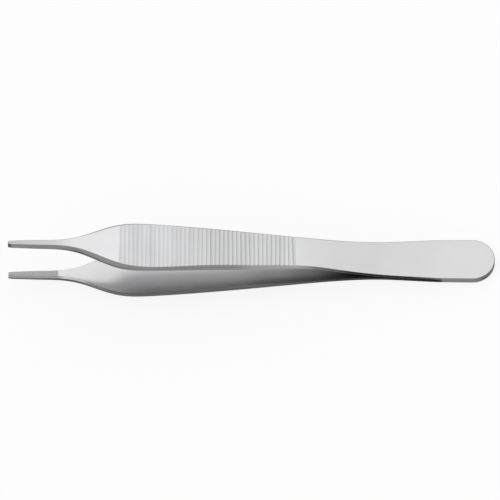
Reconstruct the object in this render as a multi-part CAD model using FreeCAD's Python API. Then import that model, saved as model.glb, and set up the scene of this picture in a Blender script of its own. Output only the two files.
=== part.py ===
import FreeCAD
import Part
import math
import os

# Thumb forceps of the 12 cm pattern, in millimetres: two spring-steel arms that are joined
# face to face at the butt. Each arm is drawn from the tips (x = 0) to the butt, with the
# middle between the arms at z = 0, and the pair is then laid down as it comes to rest.

# Lengths from the tips
LENGTH = 120.0
JAW_LENGTH = 12.3
NECK_AT = 17.7
FLARE_AT = 22.6
SHOULDER_AT = 27.6
GRIP_AT = 35.0
PALM_AT = 47.3

# Lengths forwards from the weld
WAIST_TO_WELD = 31.4
BEND_TO_WELD = 22.8
SPRING_TO_WELD = 13.8
SLIT_TO_WELD = 6.8

# The butt, where the arms lie face to face
WELD_LENGTH = 14.2
BUTT_WIDTH = 11.1
BUTT_THICKNESS = 1.0

# Width of an arm, seen from above
TIP_WIDTH = 1.15
JAW_WIDTH = 1.75
NECK_WIDTH = 3.75
FLARE_WIDTH = 8.0
SHOULDER_WIDTH = 11.6
GRIP_WIDTH = 12.45
PALM_WIDTH = 10.95
MIDDLE_WIDTH = 9.43
WAIST_WIDTH = 8.3
BEND_WIDTH = 8.6
SPRING_WIDTH = 9.4
SLIT_WIDTH = 10.2
WELD_WIDTH = 10.95

# Opening between the two arms, seen from the side
TIP_OPENING = 13.7
JAW_OPENING = 13.1
NECK_OPENING = 12.7
FLARE_OPENING = 12.4
SHOULDER_OPENING = 11.8
GRIP_OPENING = 11.0
PALM_OPENING = 9.2
MIDDLE_OPENING = 7.55
WAIST_OPENING = 6.0
BEND_OPENING = 2.8
SPRING_OPENING = 0.5
SLIT_OPENING = 0.3

# Thickness of an arm
TIP_THICKNESS = 1.75
JAW_THICKNESS = 2.1
NECK_THICKNESS = 2.3
FLARE_THICKNESS = 2.25
SHOULDER_THICKNESS = 2.05
GRIP_THICKNESS = 1.75
PALM_THICKNESS = 2.25
MIDDLE_THICKNESS = 1.98
WAIST_THICKNESS = 1.17
BEND_THICKNESS = 1.05
SPRING_THICKNESS = 0.95
SLIT_THICKNESS = 1.03

# Rounding of the long edges: outer edges at the jaw, the grip and the spring, and inner edges
JAW_EDGE_RADIUS = 0.2
SHOULDER_EDGE_RADIUS = 0.75
GRIP_EDGE_RADIUS = 0.35
SPRING_EDGE_RADIUS = 0.2
INNER_EDGE_BEVEL = 0.12

# Bevelled corners of the tips, seen from above
TIP_BEVEL_LENGTH = 1.0
TIP_BEVEL_DEPTH = 0.3

# Grip grooves, ground side by side across the outer face
GROOVE_START = 28.0
GROOVES_TO_WAIST = 3.5
GROOVE_PITCH = 1.063
GROOVE_FLOOR = 0.35
GROOVE_DEPTH = 0.15
RIDGE_SINK = 0.01

# Serrations, cut across the inner face of the jaws
TOOTH_PITCH = 0.4
TOOTH_DEPTH = 0.12

WELD_AT = LENGTH - WELD_LENGTH
WAIST_AT = WELD_AT - WAIST_TO_WELD
BEND_AT = WELD_AT - BEND_TO_WELD
SPRING_AT = WELD_AT - SPRING_TO_WELD
SLIT_AT = WELD_AT - SLIT_TO_WELD
MIDDLE_AT = (PALM_AT + WAIST_AT) / 2
BUTT_CENTRE = LENGTH - BUTT_WIDTH / 2
# Cutters reach past the arm by this much
OVERRUN = 5.0
AXIS_X = FreeCAD.Vector(1, 0, 0)
AXIS_Y = FreeCAD.Vector(0, 1, 0)
AXIS_Z = FreeCAD.Vector(0, 0, 1)


def jaw_stations():
    """Even sections along the straight jaw, which keep its faces flat."""
    count = 4
    stations = []
    for number in range(count):
        share = number / (count - 1)
        stations.append((
            JAW_LENGTH * share,
            TIP_WIDTH + (JAW_WIDTH - TIP_WIDTH) * share,
            TIP_OPENING + (JAW_OPENING - TIP_OPENING) * share,
            TIP_THICKNESS + (JAW_THICKNESS - TIP_THICKNESS) * share,
            JAW_EDGE_RADIUS))
    return stations


def arm_stations():
    """Place, width, opening, thickness and edge radius of each section, tips to butt."""
    return jaw_stations() + [
        (NECK_AT, NECK_WIDTH, NECK_OPENING, NECK_THICKNESS, GRIP_EDGE_RADIUS),
        (FLARE_AT, FLARE_WIDTH, FLARE_OPENING, FLARE_THICKNESS, SHOULDER_EDGE_RADIUS),
        (SHOULDER_AT, SHOULDER_WIDTH, SHOULDER_OPENING, SHOULDER_THICKNESS, SHOULDER_EDGE_RADIUS),
        (GRIP_AT, GRIP_WIDTH, GRIP_OPENING, GRIP_THICKNESS, GRIP_EDGE_RADIUS),
        (PALM_AT, PALM_WIDTH, PALM_OPENING, PALM_THICKNESS, GRIP_EDGE_RADIUS),
        (MIDDLE_AT, MIDDLE_WIDTH, MIDDLE_OPENING, MIDDLE_THICKNESS, GRIP_EDGE_RADIUS),
        (WAIST_AT, WAIST_WIDTH, WAIST_OPENING, WAIST_THICKNESS, GRIP_EDGE_RADIUS),
        (BEND_AT, BEND_WIDTH, BEND_OPENING, BEND_THICKNESS, SPRING_EDGE_RADIUS),
        (SPRING_AT, SPRING_WIDTH, SPRING_OPENING, SPRING_THICKNESS, SPRING_EDGE_RADIUS),
        (SLIT_AT, SLIT_WIDTH, 0, SLIT_THICKNESS, SPRING_EDGE_RADIUS),
        (WELD_AT, WELD_WIDTH, 0, BUTT_THICKNESS, SPRING_EDGE_RADIUS),
    ]


def butt_station():
    return (BUTT_CENTRE, BUTT_WIDTH, 0, BUTT_THICKNESS, SPRING_EDGE_RADIUS)


def half_section(station):
    """Points round one half of a cross-section, in the plane across the arm, bottom to top."""
    at, width, opening, thickness, rounding = station
    inner = opening / 2
    outer = inner + thickness
    side = width / 2
    bevel = INNER_EDGE_BEVEL
    # Half of the rounded corner is left at its middle point, which lies on the arc
    middle = rounding * (1 - math.sqrt(0.5))
    return [
        FreeCAD.Vector(at, side - bevel, inner),
        FreeCAD.Vector(at, side, inner + bevel),
        FreeCAD.Vector(at, side, outer - rounding),
        FreeCAD.Vector(at, side - middle, outer - middle),
        FreeCAD.Vector(at, side - rounding, outer),
    ]


def section(station):
    """The cross-section of an arm: flat faces, with the larger easing on the outer side."""
    right = half_section(station)
    left = [FreeCAD.Vector(point.x, -point.y, point.z) for point in reversed(right)]
    return Part.makePolygon(right + left + [right[0]])


def round_butt():
    """The half-round end of the arm, with the same eased edges as the sections."""
    rim = [FreeCAD.Vector(0, point.y, point.z) for point in half_section(butt_station())]
    bottom = FreeCAD.Vector(0, 0, 0)
    top = FreeCAD.Vector(0, 0, BUTT_THICKNESS)
    profile = Part.Face(Part.makePolygon([bottom] + rim + [top, bottom]))
    end = profile.revolve(FreeCAD.Vector(0, 0, 0), AXIS_Z, -180)
    end.translate(AXIS_X * BUTT_CENTRE)
    return end


def slit_cutter():
    """Takes the inner face back, so that a slit is left between the arms up to the weld."""
    width = BUTT_WIDTH + 2 * OVERRUN
    corner = FreeCAD.Vector(BEND_AT, -width / 2, -OVERRUN)
    return Part.makeBox(WELD_AT - BEND_AT, width, OVERRUN + SLIT_OPENING / 2, corner)


def tip_bevels():
    """Wedges that take off the two upright corners of the tip."""
    height = TIP_OPENING + TIP_THICKNESS
    wedges = []
    for side in (-1, 1):
        edge = side * TIP_WIDTH / 2
        inside = side * (TIP_WIDTH / 2 - TIP_BEVEL_DEPTH)
        slope = FreeCAD.Vector(TIP_BEVEL_LENGTH, edge - inside, 0)
        start = FreeCAD.Vector(0, inside, 0) - slope
        end = FreeCAD.Vector(0, inside, 0) + slope * 2
        outside = FreeCAD.Vector(start.x, end.y, 0)
        outline = Part.makePolygon([start, end, outside, start])
        wedges.append(Part.Face(outline).extrude(AXIS_Z * height))
    return wedges


def outer_curve(bow):
    """The line along the middle of the outer face, taken from the arm's own surface."""
    faces = [face for face in bow.Faces if face.normalAt(0.5, 0.5).z > 0.9]
    surface = max(faces, key=lambda face: face.Area).Surface
    u_low, u_high, v_low, v_high = surface.bounds()
    return surface.uIso((u_low + u_high) / 2)


def point_at(curve, x):
    """The curve's point and direction at a distance from the tips."""
    low = curve.FirstParameter
    high = curve.LastParameter
    for step in range(50):
        middle = (low + high) / 2
        if curve.value(middle).x < x:
            low = middle
        else:
            high = middle
    return curve.value(low), curve.tangent(low)[0]


def over_face(outer, at, lift):
    """The point that lies a height over the middle of the outer face."""
    point, along = point_at(outer, at)
    return point + along.cross(AXIS_Y) * lift


def groove_cutter(outer):
    """A comb laid on the outer face, with a blunt tooth sunk into it at each groove."""
    count = math.floor((WAIST_AT - GROOVES_TO_WAIST - GROOVE_START) / GROOVE_PITCH) + 1
    half_pitch = GROOVE_PITCH / 2
    profile = [over_face(outer, GROOVE_START - half_pitch, RIDGE_SINK)]
    for number in range(count):
        at = GROOVE_START + number * GROOVE_PITCH
        profile.append(over_face(outer, at - GROOVE_FLOOR / 2, -GROOVE_DEPTH))
        profile.append(over_face(outer, at + GROOVE_FLOOR / 2, -GROOVE_DEPTH))
        profile.append(over_face(outer, at + half_pitch, -RIDGE_SINK))
    # The flank of the last groove runs out through the face, as that of the first does
    profile[-1] = over_face(outer, at + half_pitch, RIDGE_SINK)
    profile.append(over_face(outer, at + half_pitch, OVERRUN))
    profile.append(over_face(outer, GROOVE_START - half_pitch, OVERRUN))
    profile.append(profile[0])
    width = GRIP_WIDTH + 2 * OVERRUN
    comb = Part.Face(Part.makePolygon(profile)).extrude(AXIS_Y * width)
    comb.translate(AXIS_Y * (-width / 2))
    return comb


def tooth_cutter(shift):
    """A comb of V-shaped teeth along the flat inner face of the jaw."""
    width = JAW_WIDTH + 2 * OVERRUN
    slope = FreeCAD.Vector(JAW_LENGTH, 0, (JAW_OPENING - TIP_OPENING) / 2)
    face_length = slope.Length
    along = slope.normalize()
    into = FreeCAD.Vector(-along.z, 0, along.x)
    origin = FreeCAD.Vector(0, -width / 2, TIP_OPENING / 2)
    place = shift - TOOTH_PITCH
    points = [origin + along * place - into]
    while place + TOOTH_PITCH <= face_length:
        points.append(origin + along * place)
        points.append(origin + along * (place + TOOTH_PITCH / 2) + into * TOOTH_DEPTH)
        place = place + TOOTH_PITCH
    points.append(origin + along * place)
    points.append(origin + along * place - into)
    points.append(points[0])
    return Part.Face(Part.makePolygon(points)).extrude(AXIS_Y * width)


def bowed_length():
    """The arm from the tip to the weld, drawn smoothly through its sections."""
    return Part.makeLoft([section(station) for station in arm_stations()], True, False)


def butt_pad():
    """The flat end where the arms meet, from the weld to the round end."""
    sections = [section(arm_stations()[-1]), section(butt_station())]
    return Part.makeLoft(sections, True, True)


def rest_angle(outer):
    """The pitch at which the outer face and the rim of the butt touch the table together."""
    rim = []
    for corner in half_section(butt_station()):
        rim.append(FreeCAD.Vector(BUTT_CENTRE + corner.y, 0, corner.z))
    steps = math.ceil(BEND_AT - GRIP_AT)
    profile = []
    for step in range(steps + 1):
        x = GRIP_AT + (BEND_AT - GRIP_AT) * step / steps
        profile.append(point_at(outer, x)[0])
    low = 0.0
    high = math.pi / 4
    for step in range(40):
        angle = (low + high) / 2
        down = FreeCAD.Vector(math.sin(angle), 0, math.cos(angle))
        if max(down.dot(point) for point in profile) > max(down.dot(point) for point in rim):
            low = angle
        else:
            high = angle
    return math.degrees(low)


def laid_down(arms, angle):
    """The arms turned to their rest, with the middle of the footprint at the origin."""
    for arm in arms:
        arm.rotate(FreeCAD.Vector(0, 0, 0), AXIS_Y, angle)
    box = Part.makeCompound(arms).optimalBoundingBox(False, False)
    shift = FreeCAD.Vector(-(box.XMin + box.XMax) / 2, -(box.YMin + box.YMax) / 2, -box.ZMin)
    for arm in arms:
        arm.translate(shift)


bow = bowed_length()
outer = outer_curve(bow)
arm = bow.fuse([butt_pad(), round_butt()])
arm = arm.cut([slit_cutter()] + tip_bevels())
arm = arm.cut(groove_cutter(outer))
upper = arm.cut(tooth_cutter(0)).Solids[0]
lower = arm.cut(tooth_cutter(TOOTH_PITCH / 2)).Solids[0]
lower = lower.mirror(FreeCAD.Vector(0, 0, 0), AXIS_Z)
laid_down([upper, lower], rest_angle(outer))

os.makedirs("parts", exist_ok=True)
upper.exportStep("parts/upper_arm.step")
lower.exportStep("parts/lower_arm.step")
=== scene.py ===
import bpy
import math
from mathutils import Matrix, Vector


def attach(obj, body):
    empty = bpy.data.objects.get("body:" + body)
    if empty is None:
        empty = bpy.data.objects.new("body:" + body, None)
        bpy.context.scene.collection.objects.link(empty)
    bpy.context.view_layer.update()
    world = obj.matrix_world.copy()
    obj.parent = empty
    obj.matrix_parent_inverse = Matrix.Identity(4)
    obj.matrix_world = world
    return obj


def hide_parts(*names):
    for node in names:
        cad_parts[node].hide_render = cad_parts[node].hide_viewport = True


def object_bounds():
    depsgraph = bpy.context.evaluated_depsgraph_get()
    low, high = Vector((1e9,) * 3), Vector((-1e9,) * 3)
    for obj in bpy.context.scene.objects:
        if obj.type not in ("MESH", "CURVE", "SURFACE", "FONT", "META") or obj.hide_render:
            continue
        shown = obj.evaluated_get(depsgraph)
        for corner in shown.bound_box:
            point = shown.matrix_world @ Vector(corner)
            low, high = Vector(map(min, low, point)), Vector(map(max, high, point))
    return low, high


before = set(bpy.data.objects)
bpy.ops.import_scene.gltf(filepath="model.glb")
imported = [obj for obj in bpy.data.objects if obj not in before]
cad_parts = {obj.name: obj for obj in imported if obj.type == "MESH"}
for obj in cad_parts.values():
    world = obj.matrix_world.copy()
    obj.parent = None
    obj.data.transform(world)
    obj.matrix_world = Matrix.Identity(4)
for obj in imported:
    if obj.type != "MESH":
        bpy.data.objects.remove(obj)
cad_low, cad_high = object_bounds()
bpy.ops.object.select_all(action="DESELECT")

# The arms
# Each arm is one strip of spring steel, forged and ground to shape, then satin finished. The two
# are alike, mirrored about the plane in which they are welded at the butt. Sizes are millimetres
# in an arm's own frame, x from the tip to the butt, y across and z out from the middle plane.
MM = 0.001
LENGTH = 120.0
JAW_LENGTH = 12.3
WELD_AT = 105.8
BUTT_WIDTH = 11.1
BUTT_THICKNESS = 1.0
BUTT_CENTRE = LENGTH - BUTT_WIDTH / 2
SLIT_FROM = 83.0
SLIT_OPENING = 0.3
TIP_BEVEL_LENGTH = 1.0
TIP_BEVEL_DEPTH = 0.15
INNER_EDGE_RADIUS = 0.12

# Place from the tips, width, opening between the arms, thickness and outer edge radius
STATIONS = [
    (0.0, 1.15, 13.7, 1.75, 0.2),
    (4.1, 1.35, 13.5, 1.867, 0.2),
    (8.2, 1.55, 13.3, 1.983, 0.2),
    (12.3, 1.75, 13.1, 2.1, 0.2),
    (17.7, 3.75, 12.7, 2.3, 0.35),
    (22.6, 8.0, 12.4, 2.25, 0.75),
    (27.6, 11.6, 11.8, 2.05, 0.75),
    (35.0, 12.45, 11.0, 1.75, 0.35),
    (47.3, 10.95, 9.2, 2.25, 0.35),
    (60.85, 9.43, 7.55, 1.98, 0.35),
    (74.4, 8.3, 6.0, 1.17, 0.35),
    (83.0, 8.6, 2.8, 1.05, 0.2),
    (92.0, 9.4, 0.5, 0.95, 0.2),
    (99.0, 10.2, 0.0, 1.03, 0.2),
    (105.8, 10.95, 0.0, 1.0, 0.2),
]

# Grip grooves, ground side by side across the outer face
GROOVE_START = 28.0
GROOVE_COUNT = 41
GROOVE_PITCH = 1.063
GROOVE_FLOOR = 0.35
GROOVE_DEPTH = 0.15
RIDGE_SINK = 0.01
# Share of the full depth: at the front, how many grooves it takes to grow by 1, and its limit
FRONT_SHARE = 0.5
GROOVES_TO_GROW = 60
MOST_SHARE = 0.9
# How unlike in depth the grooves are, and the turn that makes each differ from the next
UNEVEN = 0.08
UNEVEN_TURN = 1.7
# Lean of the grooves: size and turn per mm of the slow swings, and place, spread and size of the
# two stretches where it is strongest
SWINGS = ((0.006, 2.9), (0.004, 1.3))
SLIPS = ((58.0, 4.0, 0.02), (70.5, 1.2, 0.05))

GRIP_FROM = GROOVE_START - GROOVE_PITCH / 2
GRIP_TO = GRIP_FROM + GROOVE_COUNT * GROOVE_PITCH

# Serrations of the jaws, cut across the inner face
TOOTH_PITCH = 0.4
TOOTH_DEPTH = 0.07

# How finely the cross-sections follow each stretch, in steps or in millimetres
TOOTH_STEPS = 4
SHOULDER_STEP = 0.25
GROOVE_STEPS = 12
REAR_STEP = 0.5
SLIT_STEP = 0.4
BUTT_STEP = 1.0
ROUND_STEPS = 32
BEVEL_STEPS = 3
CORNER_STEPS = 5
# The slit ends in an upright step at the weld, so one section lies just before it
JUST_BEFORE = 1e-6

# Faces of a half cross-section by number, counted from the middle of the inner face. The last
# step of the rounded corner is so nearly flat that it counts as the outer face.
INNER_TO = 2
SIDE_TO = INNER_TO + BEVEL_STEPS + 1
EDGE_TO = SIDE_TO + 1
CORNER_TO = EDGE_TO + CORNER_STEPS - 1
# The finishes of an arm, in the order of its materials. All but the jaw's carry painted light and
# shade along the arms. The upper arm's inner one, and the side, edge and corner ones of both arms,
# are painted darker as shade.
OUTER_FINISH, INNER_FINISH, JAW_FINISH, SIDE_FINISH = 0, 1, 2, 3
EDGE_FINISH, CORNER_FINISH, GRIP_FINISH = 4, 5, 6
# Edges that turn by more than this stay sharp, and points nearer than this, in metres, are one
SHARP_ABOVE = math.radians(38)
SAME_POINT = 1e-8


def spline(places, values):
    """A natural cubic through the values, as a function of the place along the arm."""
    count = len(places)
    gaps = [places[i + 1] - places[i] for i in range(count - 1)]
    slopes = [(values[i + 1] - values[i]) / gaps[i] for i in range(count - 1)]
    lower, upper = [0.0] * count, [0.0] * count
    for i in range(1, count - 1):
        pivot = 2 * (gaps[i - 1] + gaps[i]) - gaps[i - 1] * lower[i - 1]
        lower[i] = gaps[i] / pivot
        upper[i] = (6 * (slopes[i] - slopes[i - 1]) - gaps[i - 1] * upper[i - 1]) / pivot
    bends = [0.0] * count
    for i in range(count - 2, 0, -1):
        bends[i] = upper[i] - lower[i] * bends[i + 1]

    def value(x):
        i = 0
        while i < count - 2 and x > places[i + 1]:
            i += 1
        gap = gaps[i]
        after, before = (x - places[i]) / gap, (places[i + 1] - x) / gap
        curve = (after ** 3 - after) * bends[i + 1] + (before ** 3 - before) * bends[i]
        return after * values[i + 1] + before * values[i] + curve * gap * gap / 6

    return value


places = [station[0] for station in STATIONS]
half_width = spline(places, [station[1] / 2 for station in STATIONS])
inner_face = spline(places, [station[2] / 2 for station in STATIONS])
outer_face = spline(places, [station[2] / 2 + station[3] for station in STATIONS])
edge_radius = spline(places, [station[4] for station in STATIONS])


def groove(x):
    """How far the outer face lies sunk at a place along the grip."""
    number = round((x - GROOVE_START) / GROOVE_PITCH)
    if number < 0 or number >= GROOVE_COUNT:
        return 0.0
    away = abs(x - GROOVE_START - number * GROOVE_PITCH)
    flank = (GROOVE_PITCH - GROOVE_FLOOR) / 2
    climb = min(max((away - GROOVE_FLOOR / 2) / flank, 0.0), 1.0)
    share = min(FRONT_SHARE + number / GROOVES_TO_GROW, MOST_SHARE)
    uneven = 1 - UNEVEN + UNEVEN * math.sin(number * number * UNEVEN_TURN)
    depth = GROOVE_DEPTH * share * uneven
    return depth + (RIDGE_SINK - depth) * climb


def lean(x):
    """How far the hand-held wheel swung a groove at a place, along the arm for each step across."""
    swing = sum(size * math.sin(x * turn) for size, turn in SWINGS)
    return swing + sum(size * math.exp(-((x - at) / spread) ** 2) for at, spread, size in SLIPS)


def half_ring(side, inner, outer, rounding, sunk):
    """Half of a cross-section as distance from the middle and height, inner to outer face."""
    bevel = INNER_EDGE_RADIUS
    points = [(0.0, inner), ((side - bevel) / 2, inner)]
    for step in range(BEVEL_STEPS + 1):
        turn = math.radians(90 * step / BEVEL_STEPS)
        points.append((side - bevel * (1 - math.sin(turn)), inner + bevel * (1 - math.cos(turn))))
    points.append((side, (inner + bevel + outer - rounding) / 2))
    for step in range(CORNER_STEPS + 1):
        turn = math.radians(90 * step / CORNER_STEPS)
        across = side - rounding * (1 - math.cos(turn))
        points.append((across, min(outer - rounding * (1 - math.sin(turn)), outer - sunk)))
    points.append(((side - rounding) / 2, outer - sunk))
    points.append((0.0, outer - sunk))
    return points


def ring(x, inner, turn=0.0, tooth=0.0):
    """One closed cross-section, its inner face lifted by tooth. Round the butt it swings by turn."""
    welded = x >= WELD_AT
    side = half_width(WELD_AT if welded else x)
    if welded:
        side += (BUTT_WIDTH / 2 - side) * (x - WELD_AT) / (BUTT_CENTRE - WELD_AT)
    if x < TIP_BEVEL_LENGTH:
        side -= TIP_BEVEL_DEPTH * (1 - x / TIP_BEVEL_LENGTH)
    outer = BUTT_THICKNESS if welded else outer_face(x)
    rounding = edge_radius(WELD_AT if welded else x)
    sunk = groove(x)
    skew = lean(x) if sunk else 0.0
    half = half_ring(side, inner, outer, rounding, sunk)
    for number in range(INNER_TO + 1):
        across, height = half[number]
        half[number] = (across, height + tooth)
    right = [(x + a * (math.sin(turn) - skew), a * math.cos(turn), h) for a, h in half]
    left = [(x + a * (math.sin(turn) + skew), -a * math.cos(turn), h) for a, h in half]
    return right + left[-2::-1]


def even(start, end, gap):
    """Places from start up to, but not at, end, spread evenly about a gap apart."""
    count = max(1, round((end - start) / gap))
    return [start + (end - start) * i / count for i in range(count)]


def rings(first_tooth):
    """All cross-sections of an arm, with the first tooth of its jaw at a place."""
    sections = []
    x = 0.0
    while x < JAW_LENGTH:
        phase = ((x - first_tooth) / TOOTH_PITCH) % 1.0
        sections.append(ring(x, inner_face(x), tooth=TOOTH_DEPTH * (1 - abs(2 * phase - 1))))
        x += TOOTH_PITCH / TOOTH_STEPS
    for x in even(JAW_LENGTH, GRIP_FROM, SHOULDER_STEP):
        sections.append(ring(x, inner_face(x)))
    for x in even(GRIP_FROM, GRIP_TO, GROOVE_PITCH / GROOVE_STEPS):
        sections.append(ring(x, inner_face(x)))
    for x in even(GRIP_TO, SLIT_FROM, REAR_STEP):
        sections.append(ring(x, inner_face(x)))
    for x in even(SLIT_FROM, WELD_AT, SLIT_STEP) + [WELD_AT - JUST_BEFORE]:
        sections.append(ring(x, max(inner_face(x), SLIT_OPENING / 2)))
    for x in even(WELD_AT, BUTT_CENTRE, BUTT_STEP):
        sections.append(ring(x, 0.0))
    for step in range(ROUND_STEPS + 1):
        sections.append(ring(BUTT_CENTRE, 0.0, turn=math.radians(90 * step / ROUND_STEPS)))
    return sections


def arm(name, side_sign, first_tooth):
    """An arm skinned over its cross-sections, in its own frame, in metres."""
    sections = rings(first_tooth)
    rows, columns = len(sections), len(sections[0])
    bpy.ops.mesh.primitive_grid_add(x_subdivisions=columns - 1, y_subdivisions=rows - 1)
    piece = bpy.context.object
    piece.name = name
    flat = [c * MM for section in sections for x, y, z in section for c in (x, y, side_sign * z)]
    piece.data.vertices.foreach_set("co", flat)
    for face in piece.data.polygons:
        row, column = divmod(min(face.vertices), columns)
        place = min(column, columns - 2 - column)
        x = sections[row][0][0]
        if place < INNER_TO:
            face.material_index = JAW_FINISH if x < JAW_LENGTH else INNER_FINISH
        elif place < SIDE_TO:
            face.material_index = SIDE_FINISH
        elif place < EDGE_TO:
            face.material_index = EDGE_FINISH
        elif place < CORNER_TO:
            face.material_index = CORNER_FINISH
        elif GRIP_FROM < x < GRIP_TO:
            face.material_index = GRIP_FINISH
        else:
            face.material_index = OUTER_FINISH
    bpy.ops.object.mode_set(mode="EDIT")
    bpy.ops.mesh.select_all(action="SELECT")
    bpy.ops.mesh.remove_doubles(threshold=SAME_POINT)
    bpy.ops.mesh.select_all(action="DESELECT")
    bpy.ops.mesh.select_mode(type="EDGE")
    bpy.ops.mesh.select_non_manifold(extend=False, use_wire=False, use_multi_face=False,
                                     use_non_contiguous=False, use_verts=False)
    bpy.ops.mesh.edge_face_add()
    bpy.ops.mesh.select_all(action="SELECT")
    bpy.ops.mesh.normals_make_consistent(inside=False)
    bpy.ops.object.mode_set(mode="OBJECT")
    bpy.ops.object.shade_smooth_by_angle(angle=SHARP_ABOVE)
    piece.select_set(False)
    return piece


upper = arm("upper_arm_satin", 1, 0.0)
lower = arm("lower_arm_satin", -1, TOOTH_PITCH / 2)

# The pair lies on the belly of the lower grip and on the butt end, pitched down towards the butt
pitch = math.radians(4.7026)
face_up = Vector((math.sin(pitch), 0, math.cos(pitch)))
along = Vector((math.cos(pitch), 0, -math.sin(pitch)))
for piece in (upper, lower):
    piece.data.transform(Matrix.Rotation(pitch, 4, "Y"))
corners = [vertex.co for piece in (upper, lower) for vertex in piece.data.vertices]
low_x, high_x = min(c.x for c in corners), max(c.x for c in corners)
arm_origin = Vector((-(low_x + high_x) / 2, 0, -min(c.z for c in corners)))
for piece, node, slot in ((upper, "upper_arm", "steel_upper"), (lower, "lower_arm", "steel_lower")):
    piece.data.transform(Matrix.Translation(arm_origin))
    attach(piece, "root")
    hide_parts(node)


# Fine grain of the blasted steel, and the soft unevenness that handling and polishing leave: it
# lightens the tone and smooths the finish in soft patches
grain = bpy.data.node_groups.new("grain", "ShaderNodeTree")
for name, kind in (("Dark", "Color"), ("Light", "Color"), ("Rough", "Float"), ("Polished", "Float")):
    grain.interface.new_socket(name, in_out="INPUT", socket_type="NodeSocket" + kind)
for name, kind in (("Color", "Color"), ("Roughness", "Float"), ("Height", "Float")):
    grain.interface.new_socket(name, in_out="OUTPUT", socket_type="NodeSocket" + kind)
nodes, links = grain.nodes, grain.links
given = nodes.new("NodeGroupInput")
ends = nodes.new("NodeGroupOutput")
place = nodes.new("ShaderNodeTexCoord")
fine = nodes.new("ShaderNodeTexNoise")
fine.inputs["Scale"].default_value = 6000.0
fine.inputs["Detail"].default_value = 2.0
links.new(place.outputs["Object"], fine.inputs["Vector"])
links.new(fine.outputs["Fac"], ends.inputs["Height"])
soft = nodes.new("ShaderNodeTexNoise")
soft.inputs["Scale"].default_value = 180.0
soft.inputs["Detail"].default_value = 2.0
links.new(place.outputs["Object"], soft.inputs["Vector"])
tone = nodes.new("ShaderNodeMix")
tone.data_type = "RGBA"
links.new(soft.outputs["Fac"], tone.inputs["Factor"])
links.new(given.outputs["Dark"], tone.inputs["A"])
links.new(given.outputs["Light"], tone.inputs["B"])
links.new(tone.outputs["Result"], ends.inputs["Color"])
finish = nodes.new("ShaderNodeMapRange")
links.new(soft.outputs["Fac"], finish.inputs["Value"])
links.new(given.outputs["Rough"], finish.inputs["To Min"])
links.new(given.outputs["Polished"], finish.inputs["To Max"])
links.new(finish.outputs["Result"], ends.inputs["Roughness"])

# How far along the arms a point lies, from 0 at the tips to 1 at the butt
reach = bpy.data.node_groups.new("reach", "ShaderNodeTree")
reach.interface.new_socket("Tips", in_out="INPUT", socket_type="NodeSocketFloat")
reach.interface.new_socket("Butt", in_out="INPUT", socket_type="NodeSocketFloat")
reach.interface.new_socket("Along", in_out="OUTPUT", socket_type="NodeSocketFloat")
nodes, links = reach.nodes, reach.links
given = nodes.new("NodeGroupInput")
ends = nodes.new("NodeGroupOutput")
place = nodes.new("ShaderNodeTexCoord")
split = nodes.new("ShaderNodeSeparateXYZ")
links.new(place.outputs["Object"], split.inputs["Vector"])
share = nodes.new("ShaderNodeMapRange")
links.new(split.outputs["X"], share.inputs["Value"])
links.new(given.outputs["Tips"], share.inputs["From Min"])
links.new(given.outputs["Butt"], share.inputs["From Max"])
links.new(share.outputs["Result"], ends.inputs["Along"])


def steel(name, dark, light, rough, polished, grain_strength):
    """Stainless steel with the shared grain, from a dark to a light tone."""
    material = bpy.data.materials.new(name)
    material.use_nodes = True
    nodes, links = material.node_tree.nodes, material.node_tree.links
    shader = nodes["Principled BSDF"]
    shader.inputs["Metallic"].default_value = 1.0
    texture = nodes.new("ShaderNodeGroup")
    texture.node_tree = grain
    texture.inputs["Dark"].default_value = (*dark, 1)
    texture.inputs["Light"].default_value = (*light, 1)
    texture.inputs["Rough"].default_value = rough
    texture.inputs["Polished"].default_value = polished
    links.new(texture.outputs["Color"], shader.inputs["Base Color"])
    links.new(texture.outputs["Roughness"], shader.inputs["Roughness"])
    bump = nodes.new("ShaderNodeBump")
    bump.inputs["Strength"].default_value = grain_strength
    bump.inputs["Distance"].default_value = 0.00002
    links.new(texture.outputs["Height"], bump.inputs["Height"])
    links.new(bump.outputs["Normal"], shader.inputs["Normal"])
    return material


# One steel for each face, each with its base tone set to paint in the reflections and shade that the
# face shows, in place of the surroundings it mirrors. The low ones are the sides and edges of the
# lower arm, painted dark as shade. The back one is the inner face of the upper arm, a darker copy of
# the inner steel painted as shade.
satin = steel("satin_steel", (0.73, 0.73, 0.735), (0.77, 0.77, 0.775), 0.36, 0.28, 0.3)
inner_polish = steel("inner_steel", (0.7, 0.7, 0.71), (0.74, 0.74, 0.75), 0.3, 0.2, 0.1)
jaw_matt = steel("jaw_steel", (0.4, 0.4, 0.405), (0.45, 0.45, 0.455), 0.55, 0.45, 0.4)
# A darker copy of the inner steel for the upper arm's inner face, painted shade.
inner_back_shade = steel("back_inner_shade_steel", (0.42, 0.42, 0.425), (0.46, 0.46, 0.465), 0.3, 0.2, 0.1)
# The upper arm's sides, edges and corners are dark steel. This is partly a rougher ground finish and
# partly painted shade and painted dark reflection.
ground_edge_and_shade = steel("edge_shade_steel", (0.21, 0.21, 0.212), (0.26, 0.26, 0.263), 0.42, 0.34, 0.2)
inner_edge = steel("inner_edge_steel", (0.21, 0.21, 0.212), (0.26, 0.26, 0.263), 0.42, 0.34, 0.2)
corner = steel("corner_shade_steel", (0.27, 0.27, 0.275), (0.31, 0.31, 0.315), 0.42, 0.34, 0.2)
# The lower arm's sides: a pale steel that is painted dark as shade further down.
low_side_shade = steel("low_side_steel", (0.72, 0.72, 0.725), (0.78, 0.78, 0.785), 0.42, 0.34, 0.2)
# The lower arm's edges and corners, painted near black as shade.
shaded_edge = steel("low_edge_steel", (0.1, 0.1, 0.102), (0.13, 0.13, 0.132), 0.42, 0.34, 0.2)


def grey(tone):
    """A tone without any tint."""
    return (tone, tone, tone)


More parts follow.
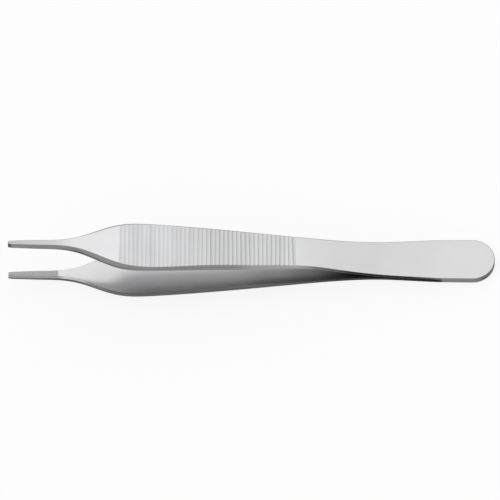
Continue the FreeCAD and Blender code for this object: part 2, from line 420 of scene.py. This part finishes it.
def paint_light_and_shade_along(material, stops):
    """Paints light and shade into a steel's tone along the arms, by stops of place along X in metres
    and tone.
    """
    nodes, links = material.node_tree.nodes, material.node_tree.links
    place = nodes.new("ShaderNodeGroup")
    place.node_tree = reach
    place.inputs["Tips"].default_value = cad_low[0]
    place.inputs["Butt"].default_value = cad_high[0]
    ramp = nodes.new("ShaderNodeValToRGB")
    ramp.color_ramp.interpolation = "EASE"
    points = ramp.color_ramp.elements
    points.remove(points[1])
    for number, (x, tint) in enumerate(stops):
        at = (x - cad_low[0]) / (cad_high[0] - cad_low[0])
        point = points[0] if number == 0 else points.new(at)
        point.position = at
        point.color = (*tint, 1)
    links.new(place.outputs["Along"], ramp.inputs["Fac"])
    product = nodes.new("ShaderNodeVectorMath")
    product.operation = "MULTIPLY"
    shader = nodes["Principled BSDF"]
    before = shader.inputs["Base Color"].links[0].from_socket
    links.new(before, product.inputs[0])
    links.new(ramp.outputs["Color"], product.inputs[1])
    links.new(product.outputs["Vector"], shader.inputs["Base Color"])


# Painted light and shade on the satin outer faces: darker at the tips, lightest at the shoulders and
# along the grips, and darker again along the handles.
paint_light_and_shade_along(satin, [
    (-0.060, grey(0.65)), (-0.049, grey(0.74)), (-0.041, (0.95, 0.95, 0.96)),
    (-0.032, (1.0, 0.995, 1.01)), (0.012, grey(0.9)), (0.035, grey(0.82)),
    (0.06, grey(0.87)),
])
# Painted shade on the lower arm's inner face. It falls to a fifth of its tone towards the weld,
# where the arms close in on each other.
paint_light_and_shade_along(inner_polish, [
    (-0.047, (0.92, 0.92, 0.93)), (-0.036, (0.9, 0.89, 0.89)), (-0.03, grey(0.83)),
    (-0.005, (0.92, 0.92, 0.91)), (0.007, grey(0.68)), (0.013, grey(0.47)),
    (0.022, grey(0.2)),
])
# Stretches of painted light and shade that the edges share: painted shade at the tips, then a
# painted highlight, then painted shade falling to near black towards the rear. At the butt the base
# tone comes back, darker at its very end.
TIP_SHADE = [(-0.06, grey(0.3)), (-0.0583, grey(0.3)), (-0.0578, grey(1.0))]
REAR_HIGHLIGHT_AND_SHADE = [
    (-0.004, grey(1.0)), (0.002, (1.5, 1.5, 1.55)), (0.012, (1.5, 1.5, 1.55)),
    (0.018, grey(0.6)), (0.0215, grey(0.4)), (0.025, grey(0.06)),
]
BUTT_HIGHLIGHT_AND_SHADE = [(0.0476, grey(1.0)), (0.055, grey(1.0)), (0.058, grey(0.5))]
# The painted shade on the outer edges lifts before the weld, and on the edges of the slit only at it
OPEN_END_SHADE = [(0.0385, grey(0.06)), (0.0432, grey(0.3)), (0.0465, grey(0.6))]
SLIT_END_SHADE = [(0.0465, grey(0.06))]
paint_light_and_shade_along(ground_edge_and_shade, TIP_SHADE + REAR_HIGHLIGHT_AND_SHADE + OPEN_END_SHADE + BUTT_HIGHLIGHT_AND_SHADE)
paint_light_and_shade_along(corner, TIP_SHADE + REAR_HIGHLIGHT_AND_SHADE + OPEN_END_SHADE + BUTT_HIGHLIGHT_AND_SHADE)
# The upper arm's sides also get a band of painted shade at the shoulder.
paint_light_and_shade_along(inner_edge, TIP_SHADE + [
    (-0.047, grey(0.9)), (-0.041, (0.35, 0.34, 0.35)), (-0.034, grey(0.42)),
    (-0.026, grey(1.0)),
] + REAR_HIGHLIGHT_AND_SHADE + SLIT_END_SHADE + BUTT_HIGHLIGHT_AND_SHADE)
# Painted light and shade on the lower arm's sides. There is a light stretch behind the jaw, then
# painted shade that deepens along the arm to near black at the weld, lifting a little at the butt.
paint_light_and_shade_along(low_side_shade, [
    (-0.06, grey(0.46)), (-0.048, grey(0.46)), (-0.046, (0.88, 0.88, 0.89)),
    (-0.043, (0.75, 0.75, 0.76)), (-0.039, (0.32, 0.32, 0.33)), (-0.034, (0.19, 0.19, 0.195)),
    (-0.029, (0.155, 0.155, 0.158)), (0.0, grey(0.18)), (0.008, grey(0.15)),
    (0.014, grey(0.12)), (0.022, grey(0.06)), (0.0465, grey(0.02)),
    (0.0476, grey(0.3)), (0.055, grey(0.3)), (0.058, grey(0.15)),
])
# Painted light and shade on the lower arm's edges: lighter at the tip, then painted shade that
# deepens towards the weld, and a painted highlight at the butt.
paint_light_and_shade_along(shaded_edge, [
    (-0.06, grey(1.4)), (-0.045, grey(0.8)), (-0.03, grey(1.0)),
    (0.0, grey(0.8)), (0.02, grey(0.4)), (0.025, grey(0.1)),
    (0.0465, grey(0.1)), (0.0476, grey(1.9)), (0.055, grey(1.9)),
    (0.058, grey(1.0)),
])

# The ground grip: each groove catches the light a little differently, as the wheel left it
grip = steel("grip_steel", (0.62, 0.625, 0.632), (0.66, 0.665, 0.672), 0.44, 0.36, 0.2)
nodes, links = grip.node_tree.nodes, grip.node_tree.links
place = nodes.new("ShaderNodeTexCoord")
stretch = nodes.new("ShaderNodeMapping")
stretch.inputs["Rotation"].default_value = (0, 0, math.radians(0.8))
stretch.inputs["Scale"].default_value = (1.0, 0.03, 0.03)
links.new(place.outputs["Object"], stretch.inputs["Vector"])
streak = nodes.new("ShaderNodeTexNoise")
streak.inputs["Scale"].default_value = 900.0
streak.inputs["Detail"].default_value = 1.0
links.new(stretch.outputs["Vector"], streak.inputs["Vector"])
spread = nodes.new("ShaderNodeMapRange")
spread.inputs["From Min"].default_value = 0.3
spread.inputs["From Max"].default_value = 0.7
spread.inputs["To Min"].default_value = 0.95
spread.inputs["To Max"].default_value = 1.05
links.new(streak.outputs["Fac"], spread.inputs["Value"])
shade = nodes.new("ShaderNodeVectorMath")
shade.operation = "SCALE"
shader = nodes["Principled BSDF"]
links.new(shader.inputs["Base Color"].links[0].from_socket, shade.inputs["Vector"])
links.new(spread.outputs["Result"], shade.inputs["Scale"])
links.new(shade.outputs["Vector"], shader.inputs["Base Color"])
# Painted shade along the grip, deepest a little behind its middle.
paint_light_and_shade_along(grip, [
    (-0.032, grey(1.0)), (-0.02, grey(0.97)), (-0.008, (0.89, 0.89, 0.885)),
    (0.01, (0.96, 0.96, 0.955)),
])
for material in (satin, inner_back_shade, jaw_matt, inner_edge, ground_edge_and_shade, corner, grip):
    upper.data.materials.append(material)
for material in (satin, inner_polish, jaw_matt, low_side_shade, shaded_edge, shaded_edge, grip):
    lower.data.materials.append(material)

# The floor
# A plain pale surface, wide enough to be all that is seen behind the forceps. What sees it
# directly or in the steel sees it pale, with a part of the shadow that falls on it.
FLOOR_SIZE = 4.0
PALE_SHARE = 0.83
bpy.ops.mesh.primitive_plane_add(size=FLOOR_SIZE)
floor = bpy.context.object
floor.name = "floor"
paper = bpy.data.materials.new("pale_floor")
paper.use_nodes = True
nodes, links = paper.node_tree.nodes, paper.node_tree.links
nodes.clear()
output = nodes.new("ShaderNodeOutputMaterial")
card = nodes.new("ShaderNodeBsdfDiffuse")
card.inputs["Color"].default_value = (0.93, 0.93, 0.93, 1)
glow = nodes.new("ShaderNodeEmission")
glow.inputs["Strength"].default_value = 1.0
softened = nodes.new("ShaderNodeMixShader")
softened.inputs["Fac"].default_value = PALE_SHARE
links.new(card.outputs["BSDF"], softened.inputs[1])
links.new(glow.outputs["Emission"], softened.inputs[2])
path = nodes.new("ShaderNodeLightPath")
seen = nodes.new("ShaderNodeMath")
seen.operation = "MAXIMUM"
links.new(path.outputs["Is Camera Ray"], seen.inputs[0])
links.new(path.outputs["Is Glossy Ray"], seen.inputs[1])
seen_or_through = nodes.new("ShaderNodeMath")
seen_or_through.operation = "MAXIMUM"
links.new(seen.outputs["Value"], seen_or_through.inputs[0])
links.new(path.outputs["Is Transmission Ray"], seen_or_through.inputs[1])
choice = nodes.new("ShaderNodeMixShader")
links.new(seen_or_through.outputs["Value"], choice.inputs["Fac"])
links.new(card.outputs["BSDF"], choice.inputs[1])
links.new(softened.outputs["Shader"], choice.inputs[2])
links.new(choice.outputs["Shader"], output.inputs["Surface"])
floor.data.materials.append(paper)
floor.select_set(False)

# The light
# A dim room that is lighter towards the tips, and one wide soft box overhead, set back and
# towards the tips.
world = bpy.data.worlds.new("room")
bpy.context.scene.world = world
world.use_nodes = True
nodes, links = world.node_tree.nodes, world.node_tree.links
way = nodes.new("ShaderNodeTexCoord")
split = nodes.new("ShaderNodeSeparateXYZ")
links.new(way.outputs["Generated"], split.inputs["Vector"])
side_light = nodes.new("ShaderNodeMapRange")
side_light.inputs["From Min"].default_value = -0.9
side_light.inputs["From Max"].default_value = 0.9
side_light.inputs["To Min"].default_value = 0.96
side_light.inputs["To Max"].default_value = 0.62
links.new(split.outputs["X"], side_light.inputs["Value"])
links.new(side_light.outputs["Result"], nodes["Background"].inputs["Strength"])
nodes["Background"].inputs["Color"].default_value = (1, 1, 1, 1)

BOX_PLACE = Vector((-0.35, 0.45, 1.0))
BOX_LENGTH = 2.5
BOX_DEPTH = 1.8
BOX_RADIANCE = 0.36
bpy.ops.object.light_add(type="AREA", location=BOX_PLACE)
soft_box = bpy.context.object
soft_box.data.shape = "RECTANGLE"
soft_box.data.size = BOX_LENGTH
soft_box.data.size_y = BOX_DEPTH
soft_box.data.energy = BOX_RADIANCE * math.pi * BOX_LENGTH * BOX_DEPTH

# The camera
# A long lens, square to the arms' length and 60 degrees above the plane in which they lie. The
# picture takes in 123.3 mm from side to side, about a point near the arms' middle plane.
FRAME_WIDTH = 123.3 * MM
LENS = 1500.0
SENSOR = 36.0
LOOK_ALONG = 59.63 * MM
LOOK_UP = 2.617 * MM
ROLL = math.radians(0.19)
VIEW_ANGLE = math.radians(60)
back = Vector((0, -math.cos(VIEW_ANGLE), 0)) + face_up * math.sin(VIEW_ANGLE)
up = Vector((0, math.sin(VIEW_ANGLE), 0)) + face_up * math.cos(VIEW_ANGLE)
turn = Matrix.Rotation(ROLL, 3, back)
right, up_turned = turn @ along, turn @ up
distance = FRAME_WIDTH * LENS / SENSOR
bpy.ops.object.camera_add()
camera = bpy.context.object
camera.data.lens = LENS
camera.data.sensor_width = SENSOR
camera.data.clip_end = 20.0
camera.matrix_world = Matrix.Translation(
    arm_origin + along * LOOK_ALONG + up * LOOK_UP + back.normalized() * distance
) @ Matrix((right.normalized(), up_turned.normalized(), back.normalized())).transposed().to_4x4()
bpy.context.scene.camera = camera
bpy.context.scene.view_settings.view_transform = "Standard"
